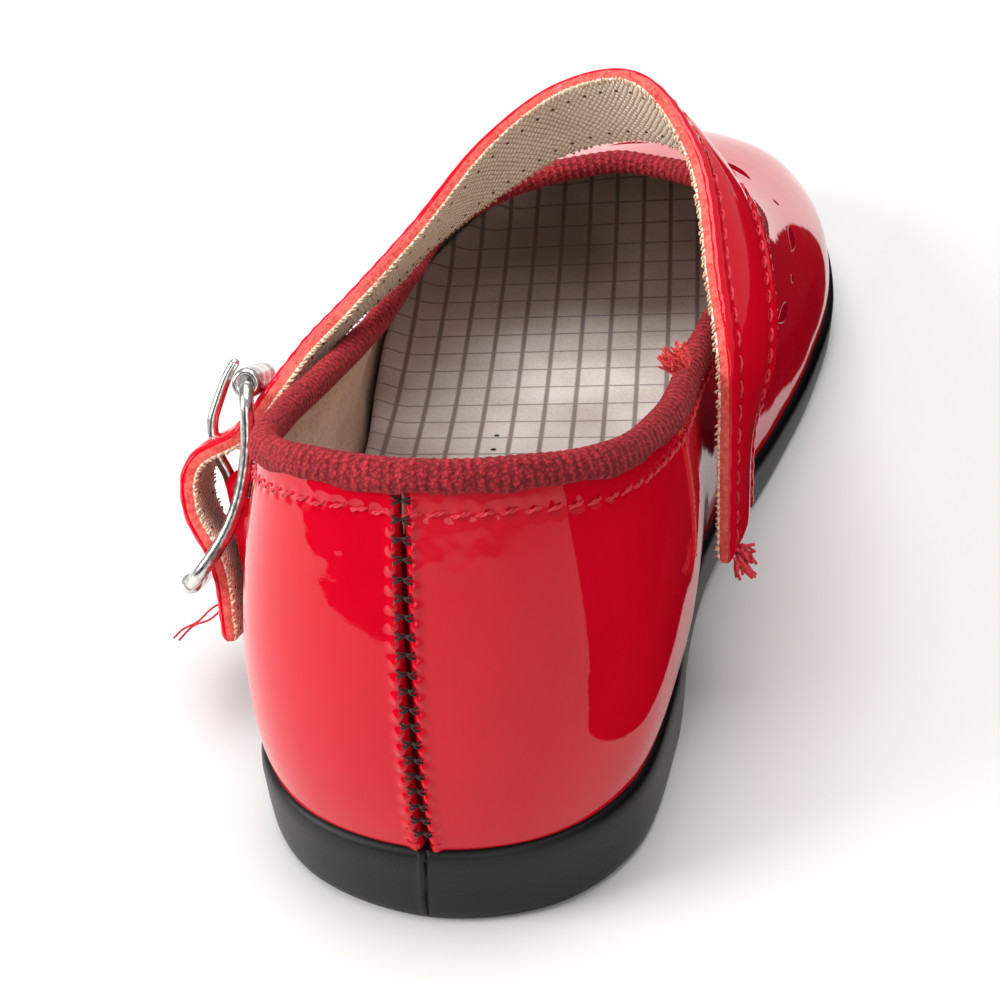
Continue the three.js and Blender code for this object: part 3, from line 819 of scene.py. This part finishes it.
def strap_point(t, s, lift):
    """A point of the strap: t along it, s across it from its heel side, lift off its inner face."""
    t, s, lift = np.broadcast_arrays(*(np.asarray(x, float) for x in (t, s, lift)))
    s, lift = s[..., None], lift[..., None]

    def line(share):
        return HEEL_SIDE.at(share) * (1 - s) + TOE_SIDE.at(share) * s

    across = TOE_SIDE.at(t) - HEEL_SIDE.at(t)
    step = 0.004
    along = line(np.minimum(1, t + step)) - line(np.maximum(0, t - step))
    return line(t) + unit(np.cross(across, along)) * lift


def strap_run(count):
    """Shares along the strap and the distance run at each, down its middle."""
    t = np.linspace(0, 1, count)
    points = strap_point(t, 0.5, 1)
    run = np.concatenate([[0], np.cumsum(np.linalg.norm(np.diff(points, axis=0), axis=-1))])
    return t, run


def strap(face_material, edge_material, backing_material):
    """Patent face with a cushioned edge, a raw cut edge, and a twill back."""
    t, run = strap_run(420)
    # One edge: (distance in from it, lift off the inner face, layer: 0 patent, 1 core, 2 backing)
    edge = [(4.5, 0, 2), (2.2, 0.04, 2), (0.5, 0, 2), (0.1, 0.1, 2), (0, 0.24, 2), (0.06, 0.4, 2),
            (0.02, 0.5, 1), (0, 0.95, 1), (0, 1.4, 1), (0.04, 1.62, 0), (0.12, 1.76, 0), (0.3, 1.92, 0),
            (0.7, 2.08, 0), (1.4, 2.1, 0), (2.2, 1.9, 0), (3.0, 2.14, 0), (4.5, 2.34, 0)]
    toe_half = [(1 - x / STRAP_WIDTH, z, layer) for x, z, layer in edge]
    # Back down the heel side, each face between two points takes the second one's layer
    heel_half = [(x / STRAP_WIDTH, z, layer) for x, z, layer in edge[::-1]]
    layers = [layer for _, _, layer in edge]
    section = toe_half + [(0.5, 2.42, 0)] + heel_half + [(0.5, 0, 2)]
    kinds = layers + [0] + [0] + layers[:-1][::-1] + [2]
    across = np.array([x for x, _, _ in section])
    lift = np.array([z for _, z, _ in section])
    stretch = np.ones_like(t)
    stretch[:3] = (0.6, 0.86, 0.96)
    stretch[-3:] = (0.96, 0.86, 0.6)
    rough_cut = 0.05 * np.sin(run * 2.1) + 0.04 * np.sin(run * 5.3 + 1)
    at_edge = (np.minimum(across, 1 - across) < 0.006)[None, :] * rough_cut[:, None] / STRAP_WIDTH
    s = 0.5 + (across[None, :] - 0.5) * (1 - 0.03 * (1 - stretch[:, None])) + at_edge
    lifted = 1.0 + (lift[None, :] - 1.0) * stretch[:, None]
    beat = 0.04 * np.cos(2 * math.pi * (run - 1.5) / STITCH_PITCH)
    on_row = np.isin(lift, (1.9, 2.1, 2.08))[None, :] * beat[:, None]
    rings = strap_point(t[:, None], s, lifted + on_row)
    ends = [np.repeat(rings[end].mean(0, keepdims=True), len(section), axis=0) for end in (0, -1)]
    rings = np.concatenate([[ends[0]], rings, [ends[1]]])
    runs = np.concatenate([[0], run, [run[-1]]])
    sides = np.append(across, across[0]) * STRAP_WIDTH
    uv = np.stack(np.broadcast_arrays(sides[None, :], runs[:, None]), axis=-1)
    piece = loft("instep_strap", rings, uv)
    dress(piece, face_material, edge_material, backing_material)
    columns = len(section)
    for face in piece.data.polygons:
        face.material_index = kinds[face.index % columns]
    hand_in(piece, "patent_strap", "strap")


def twisted(points, outwards, reach, phase):
    """Two plies laid round a centre line."""
    points, outwards = np.asarray(points), np.asarray(outwards)
    side = unit(np.cross(outwards, np.gradient(points, axis=0)))
    angle = phase + np.linspace(0, 2.2 * math.pi, len(points))[:, None]
    swing = reach * (np.cos(angle) * outwards + np.sin(angle) * side)
    return [points + swing, points - swing]


# A stitch: how far along it, in shares, and how far off the skin
STITCH_PLACES = np.array([0, 0.1, 0.22, 0.36, 0.5, 0.64, 0.78, 0.9, 1.0])
STITCH_LIFTS = np.array([-0.3, 0.0, 0.1, 0.15, 0.17, 0.15, 0.1, 0.0, -0.3])


def strap_stitches(red, dark):
    """Two rows of lockstitch down the face, and dark stubs of painted shade in the needle holes that they
    leave in the back.
    """
    t, run = strap_run(800)
    lines, holes = [], []
    chance = random.Random(4)
    inset = STRAP_ROW_INSET / STRAP_WIDTH
    for row, s in enumerate((inset, 1 - inset)):
        for start in np.arange(1.5 + row, run[-1] - 3, STITCH_PITCH):
            places = start + STITCH_PLACES * 1.85
            shares = np.interp(places, run, t)
            side = s + (STITCH_PLACES - 0.5) * 0.25 / STRAP_WIDTH
            points = strap_point(shares, side, STRAP_THICKNESS - 0.05 + STITCH_LIFTS)
            outwards = unit(strap_point(shares, side, 3) - strap_point(shares, side, 2))
            lines += twisted(points, outwards, 0.07, chance.uniform(0, 3))
            # Each needle hole gets a short dark stub: painted shade inside the hole.
            middle = np.interp(start + 2.1, run, t)
            holes.append(strap_point(np.array([middle, middle]), s, np.array([-0.04, 0.3])))
    hand_in(thread("strap_stitches", lines, 0.18, red), "patent_strap")
    hand_in(thread("strap_needle_holes", holes, 0.42, dark), "patent_strap")


def scattered(chance, low, high):
    """A random point of a box between two corners."""
    return np.array([chance.uniform(*limits) for limits in zip(low, high)])


def tuft(name, count, rooted_in, reaching, thickness, material, slot, chance, seed):
    """Loose fibre ends: each curls from a root in one box, by a reach drawn from another."""
    ends = []
    for _ in range(count):
        root = scattered(chance, *rooted_in)
        ends.append((root, root + scattered(chance, *reaching)))
    curl = random.Random(seed)
    lines = []
    for root, tip in ends:
        sag = scattered(curl, (-1, -1, -1), (1, 1, 1)) * 0.25 * np.linalg.norm(tip - root)
        lines.append([root, (root + tip) / 2 + sag, tip])
    hand_in(thread(name, lines, thickness, material), slot)


def strap_fuzz(cream, salmon):
    """The cut edges: looped yarn ends along the backing, and stray fibres off the core."""
    t, run = strap_run(800)
    chance = random.Random(3)
    loops, strays = [], []
    for side, across in ((0.0, 1 / STRAP_WIDTH), (1.0, -1 / STRAP_WIDTH)):
        for place in np.arange(1, run[-1] - 1, 0.6):
            jog = chance.uniform(-0.3, 0.3)
            share = np.interp(place + jog + np.array([-0.2, -0.06, 0.08, 0.24]), run, t)
            reach = across * (np.array([0.55, 0.05, -0.12, 0.02]) + chance.uniform(-0.14, 0.08))
            lift = np.array([-0.02, -0.03, 0.15, 0.4]) + chance.uniform(-0.12, 0.12)
            loops.append(strap_point(share, side + reach, lift))
        for _ in range(260):
            share = np.full(3, chance.random()) + np.array([0, 0, chance.uniform(-0.003, 0.003)])
            reach = across * np.array([0.1, -0.15, -chance.uniform(0.2, 0.5)])
            lift = chance.uniform(0.1, 1.3) + np.array([0, 0, chance.uniform(-0.3, 0.2)])
            strays.append(strap_point(share, side + reach, lift))
    hand_in(thread("strap_backing_loops", loops, 0.24, cream, smooth_ends=True), "patent_strap")
    hand_in(thread("strap_edge_fibres", strays, 0.07, salmon), "patent_strap")


# ---- Stitches on the upper ----
def seam_stitches(dark):
    """Cross stitches that draw the two quarters together down the back."""
    lines = []
    chance = random.Random(11)
    length = float(rib_length(0.0))
    quarter = np.linspace(-0.03, 0.03, 401)
    for drop in np.arange(SEAM_START, length - 0.8, SEAM_PITCH):
        for lean in (-1, 1):
            side = np.linspace(-1, 1, 11)
            heights = drop + lean * side * 0.42 + chance.uniform(-0.1, 0.1)
            reach = 1.08 + chance.uniform(-0.15, 0.12)
            level = upper_surface(quarter, rib_share(quarter, float(drop)))
            u = np.interp(side * reach, level[:, 0], quarter)
            lift = 0.38 - 0.5 * np.exp(-(side / 0.25) ** 2) - 0.5 * np.abs(side) ** 6 + 0.03 * lean
            lines.append(off_upper(u, rib_share(u, heights), lift))
    hand_in(thread("back_seam_stitches", lines, 0.28, dark, smooth_ends=True), "patent_upper")


def topline_stitches(red):
    """One row of stitches round the quarters and the throat, just below the tape."""
    u = np.linspace(0, 1, 2000)
    run = girth(u, ROW_DROP)
    lines = []
    chance = random.Random(8)
    for start in np.arange(1.0, run[-1] - 2.0, STITCH_PITCH):
        shares = np.interp(start + STITCH_PLACES * 2.1, run, u)
        drop = ROW_DROP + (STITCH_PLACES - 0.5) * 0.5 + chance.uniform(-0.1, 0.1)
        points = off_upper(shares, rib_share(shares, drop), STITCH_LIFTS - 0.05)
        outwards = upper_normal(shares, rib_share(shares, drop))
        lines += twisted(points, outwards, 0.12, chance.uniform(0, 3))
    hand_in(thread("topline_stitches", lines, 0.24, red), "patent_upper")


# ---- Buckle ----
BUCKLE_CENTRE = np.array([30.2, -17.8, 25.1])
SPLAY = math.radians(10)
DOWN = unit(np.array([0.2, 0.5, -0.85]))
SQUARE_OUT = unit(np.array([1.0, 0, 0]) - DOWN * DOWN[0])
OUT = SQUARE_OUT * math.cos(SPLAY) - np.cross(DOWN, SQUARE_OUT) * math.sin(SPLAY)
AHEAD = np.cross(DOWN, OUT)


def in_buckle(x, y, z):
    """Buckle places: x ahead to the toe, y down the strap, z out from the quarter."""
    x, y, z = (np.asarray(k, float)[..., None] for k in (x, y, z))
    return BUCKLE_CENTRE + x * AHEAD + y * DOWN + z * OUT


def bow(y):
    return np.where(y < 0, TOP_BOW, LOW_BOW) * (y / (FRAME_LENGTH / 2)) ** 2


def rope(name, path, radius, strands, lay, material, closed, depth=0.05, cup=False):
    """A twisted wire along a path: strands lobes that turn once in each lay. A cup hollows its ends."""
    ahead = unit(np.gradient(path, axis=0) if not closed
                 else np.roll(path, -1, axis=0) - np.roll(path, 1, axis=0))
    side = unit(np.cross(ahead, OUT))
    lift = np.cross(side, ahead)
    steps = np.linalg.norm(np.diff(path, axis=0), axis=-1)
    run = np.concatenate([[0], np.cumsum(steps)])
    whole = run[-1] + (np.linalg.norm(path[0] - path[-1]) if closed else 0)
    turns = max(1, round(whole / lay))
    angle = np.linspace(0, 2 * math.pi, 25)[:-1]
    phase = strands * angle[None, :] - 2 * math.pi * turns * run[:, None] / whole
    reach = radius[:, None] * (1 - depth + depth * np.abs(np.cos(phase / 2)))
    rings = (path[:, None] + side[:, None] * (reach * np.cos(angle))[..., None]
             + lift[:, None] * (reach * np.sin(angle))[..., None])
    if cup:
        for end, deep in ((0, 9), (-1, -10)):
            lip, floor = (path[place] + 0.62 * (rings[place] - path[place]) for place in (end, deep))
            rings = np.concatenate([[floor, lip], rings] if end == 0 else [rings, [lip, floor]])
            tip = path[deep:deep + 1]
            path = np.concatenate([tip, path] if end == 0 else [path, tip])
    if not closed:
        rings = np.concatenate([np.repeat(path[:1, None], 24, axis=1), rings,
                                np.repeat(path[-1:, None], 24, axis=1)])
    piece = loft(name, rings, joined=closed)
    dress(piece, material)
    return piece


def buckle(material):
    """A bowed frame of beaded wire with two thick end rails, its bar and its prong."""
    half_width = FRAME_WIDTH / 2 - WIRE_RADIUS
    half_length = FRAME_LENGTH / 2 - WIRE_RADIUS
    corner = 3.2
    arc = np.radians(np.arange(0, 90, 6))
    xs, ys = [], []
    for quarter, (sign_x, sign_y) in enumerate(((1, 1), (-1, 1), (-1, -1), (1, -1))):
        angle = arc + quarter * math.pi / 2
        xs.append(sign_x * (half_width - corner) + corner * np.cos(angle))
        ys.append(sign_y * (half_length - corner) + corner * np.sin(angle))
        straight = np.linspace(0, 1, 40)[1:-1]
        if quarter % 2 == 0:
            xs.append(sign_x * (half_width - corner) * (1 - 2 * straight))
            ys.append(np.full(38, sign_y * half_length))
        else:
            xs.append(np.full(38, sign_x * half_width))
            ys.append(sign_y * (half_length - corner) * (1 - 2 * straight))
    xs, ys = np.concatenate(xs), np.concatenate(ys)
    path = in_buckle(xs, ys, bow(ys))
    steps = np.concatenate([[0], np.cumsum(np.linalg.norm(np.diff(path, axis=0), axis=-1))])
    even = np.linspace(0, steps[-1], 900)
    path = np.stack([np.interp(even, steps, path[:, k]) for k in range(3)], axis=-1)
    wire = rope("buckle_wire", path, np.full(900, WIRE_RADIUS), 2, 1.2, material, True, 0.015)
    reach = half_width - corner / 2
    rails = []
    for name, y, thickness, thinnest in (("top_rail", -half_length, TOP_RAIL_RADIUS, 0.9),
                                         ("low_rail", half_length, LOW_RAIL_RADIUS, 0.55)):
        x = np.linspace(-reach, reach, 160)
        taper = np.clip(1.5 - 1.5 * (np.abs(x) / reach) ** 8, thinnest, 1)
        line = in_buckle(x, np.full(160, y), np.full(160, bow(np.array(y))))
        rails.append(rope("buckle_" + name, line, thickness * taper, 3, 4.2, material, False,
                          cup=thinnest > 0.6))
    x = np.linspace(-half_width, half_width, 30)
    bar_line = in_buckle(x, 0 * x, 0 * x)
    rails.append(rope("buckle_bar", bar_line, np.full(30, WIRE_RADIUS * 0.9), 1, 40, material, False))
    select(*rails, wire)
    bpy.ops.object.join()
    wire.name = "buckle_frame_wire"
    hand_in(wire, "buckle_metal", "buckle_frame")

    bends = SmoothCurve(in_buckle(np.zeros(8), np.array([1.7, 1.2, -0.6, -3, -6, -9, -12, -14]),
                                  np.array([0.5, 1.8, 3, 5, 6.2, 6.1, 5.7, 5.1])), False)
    line = bends.at(np.linspace(0, 1, 80))
    size = 0.78 - 0.2 * np.linspace(0, 1, 80) ** 2
    size[-3:] *= (0.92, 0.75, 0.45)
    prong = rope("prong_pin", line, size, 1, 60, material, False)
    hand_in(prong, "buckle_metal", "buckle_prong")


def rounded_copy(node, name, radius, *materials):
    """A copy of a frame node with its doubles merged and its edges rounded."""
    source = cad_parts[node]
    piece = source.copy()
    piece.data = source.data.copy()
    piece.name = name
    for key in list(piece.keys()):
        del piece[key]
    piece.parent = None
    bpy.context.scene.collection.objects.link(piece)
    select(piece)
    bpy.ops.object.mode_set(mode="EDIT")
    bpy.ops.mesh.select_all(action="SELECT")
    bpy.ops.mesh.remove_doubles(threshold=1e-5)
    bpy.ops.object.mode_set(mode="OBJECT")
    edge = piece.modifiers.new("edge", "BEVEL")
    edge.width = radius * MM
    edge.segments = 3
    edge.limit_method = "ANGLE"
    edge.angle_limit = math.radians(40)
    bpy.ops.object.modifier_apply(modifier=edge.name)
    bpy.ops.object.shade_smooth_by_angle(angle=math.radians(40))
    dress(piece, *materials)
    return piece


# ---- Loose ends ----
def loose_ends(red, bright):
    """What wear has pulled out: the tape's frayed end, the strap's tail and stray threads."""
    chance = random.Random(21)
    # Frayed end of the tape on top of the collar, just behind the strap
    tuft("tape_frayed_end", 90, ((-22.7, -18.2, 44.7), (-20.5, -15, 45.5)),
         ((0.1, -1.1, 0.3), (1.7, 0.5, 1.9)), 0.26, bright, "binding_tape", chance, 22)
    # Torn flap and threads below the strap's sewn end
    tuft("strap_tail", 46, ((-27.8, -18.7, 20), (-27, -14.3, 21.4)),
         ((-1.8, -0.8, -3.2), (-0.1, 0.8, 0.2)), 0.36, red, "patent_strap", chance, 23)
    # Two stray threads by the strap's tip
    first = SmoothCurve([[31.4, -8, 15.5], [33.2, -7, 14.8], [35, -6.2, 13.2], [36.6, -5.2, 12.7],
                         [37.6, -4.6, 11.8]], False).at(np.linspace(0, 1, 16))
    second = SmoothCurve([[31.4, -8, 15.2], [33.4, -6.4, 13.6], [35.4, -5.8, 12.9], [37.2, -5, 11.2]],
                         False).at(np.linspace(0, 1, 14))
    hand_in(thread("stray_threads", [first, second], 0.26, red), "patent_strap")


# ---- Build ----
UPPER_STATIONS = 480
UPPER_GIRTH = float(girth(np.append(laid_round(UPPER_STATIONS), 1.0), PERFORATION_DROP)[-1])

patent = plain_patent()
# Cut split-leather core, dyed through: a soft salmon red
salmon_core = cloth("split_leather_edge_salmon", "#bd2c2b", "#e27265", 0.6, 0.1)
# Pigskin lining: beige with fine pores
lining = cloth("pigskin_lining_beige", "#a98670", "#d6b79e", 0.6, 0.05)
# Spun polyester threads
red_thread = cloth("polyester_thread_red", "#b00a20", "#e8404e", 0.4, 0.03, 0.5)
dark_thread = cloth("waxed_thread_dark_brown", "#140807", "#3a1a14", 0.5, 0.04, 0.55)
bright_thread = cloth("frayed_yarn_bright_red", "#b01420", "#e8504a", 0.4, 0.04, 0.8)
cream_yarn = cloth("cotton_yarn_cream", "#b48f6c", "#ead2b0", 0.4, 0.04)
metal = plated_alloy()

outsole(moulded_rubber())
insole(printed_insole())
upper(upper_patent(), lining)
binding(ribbed_tape())
strap(patent, salmon_core, woven_backing())
strap_stitches(red_thread, dark_thread)
strap_fuzz(cream_yarn, salmon_core)
seam_stitches(dark_thread)
topline_stitches(red_thread)
buckle(metal)
tab = rounded_copy("buckle_tab", "buckle_tab_band", 0.3, patent)
hand_in(tab, "patent_strap", "buckle_tab")
loose_ends(red_thread, bright_thread)


# ---- Stage, light and camera ----
def pale_floor():
    """Board painted a flat off-white."""
    material, _, shader, _ = new_material("painted_board_white")
    feed(shader, Base_Color=linear("#d9d8d6"), Roughness=0.6)
    select()
    bpy.ops.mesh.primitive_plane_add(size=6, location=(0, 0, 0))
    floor = bpy.context.object
    floor.name = "floor"
    dress(floor, material)


def soft_light(name, place, aim, width, height, power):
    lamp = bpy.data.lights.new(name, "AREA")
    lamp.shape = "RECTANGLE"
    lamp.size, lamp.size_y = width, height
    lamp.energy = power
    box = bpy.data.objects.new(name, lamp)
    box.location = place
    box.rotation_euler = (Vector(aim) - Vector(place)).to_track_quat("-Z", "Y").to_euler()
    bpy.context.scene.collection.objects.link(box)


def reflected_card(name, place, size, turn):
    """A dark card that only shows as a reflection in the patent."""
    material, _, shader, _ = new_material("black_felt_" + name)
    feed(shader, Base_Color=linear("#0b0a0b"), Roughness=0.9, Specular_IOR_Level=0.1)
    select()
    bpy.ops.mesh.primitive_cylinder_add(vertices=48, radius=0.5, depth=1)
    card = bpy.context.object
    card.name = name
    card.scale = Vector(size) * MM
    card.location = Vector(place) * MM
    card.rotation_euler = (0, 0, math.radians(turn))
    bpy.ops.object.transform_apply(location=True, rotation=True, scale=True)
    dress(card, material)
    card.visible_camera = card.visible_diffuse = card.visible_shadow = False
    card.visible_transmission = False


pale_floor()
# Low dark shapes on the inner side and a tall one behind the outer side shape the reflections.
reflected_card("inner_card", (-74, -55, 24), (50, 172, 48), -6)
reflected_card("near_card", (-50, -72, 6), (38, 200, 12), 0)
reflected_card("fore_card", (-67, -118, 20), (60, 140, 40), 4)
reflected_card("outer_card", (140, 128, 100), (210, 40, 200), -22)
world = bpy.data.worlds.new("studio")
world.use_nodes = True
feed(world.node_tree.nodes["Background"], Color=linear("#f4f5f7"), Strength=0.42)
bpy.context.scene.world = world
soft_light("overhead", (0.0, -0.12, 0.7), (0, -0.04, 0.03), 0.6, 0.5, 5.6)
soft_light("key", (0.5, 0.24, 0.36), (0, 0, 0.03), 0.3, 0.3, 3.7)
soft_light("fill", (-0.15, 0.5, 0.4), (0, 0, 0.03), 0.3, 0.3, 0.6)

camera = bpy.data.objects.new("camera", bpy.data.cameras.new("camera"))
camera.data.lens = 89
camera.data.sensor_width = 36
camera.location = Vector((-60.5, 210, 185)) * MM
look = Vector((0.3, -18, 25)) * MM - camera.location
lean = Quaternion(look.normalized(), math.radians(5))
camera.rotation_euler = (lean @ look.to_track_quat("-Z", "Y")).to_euler()
bpy.context.scene.collection.objects.link(camera)
bpy.context.scene.camera = camera
bpy.context.scene.view_settings.view_transform = "Standard"
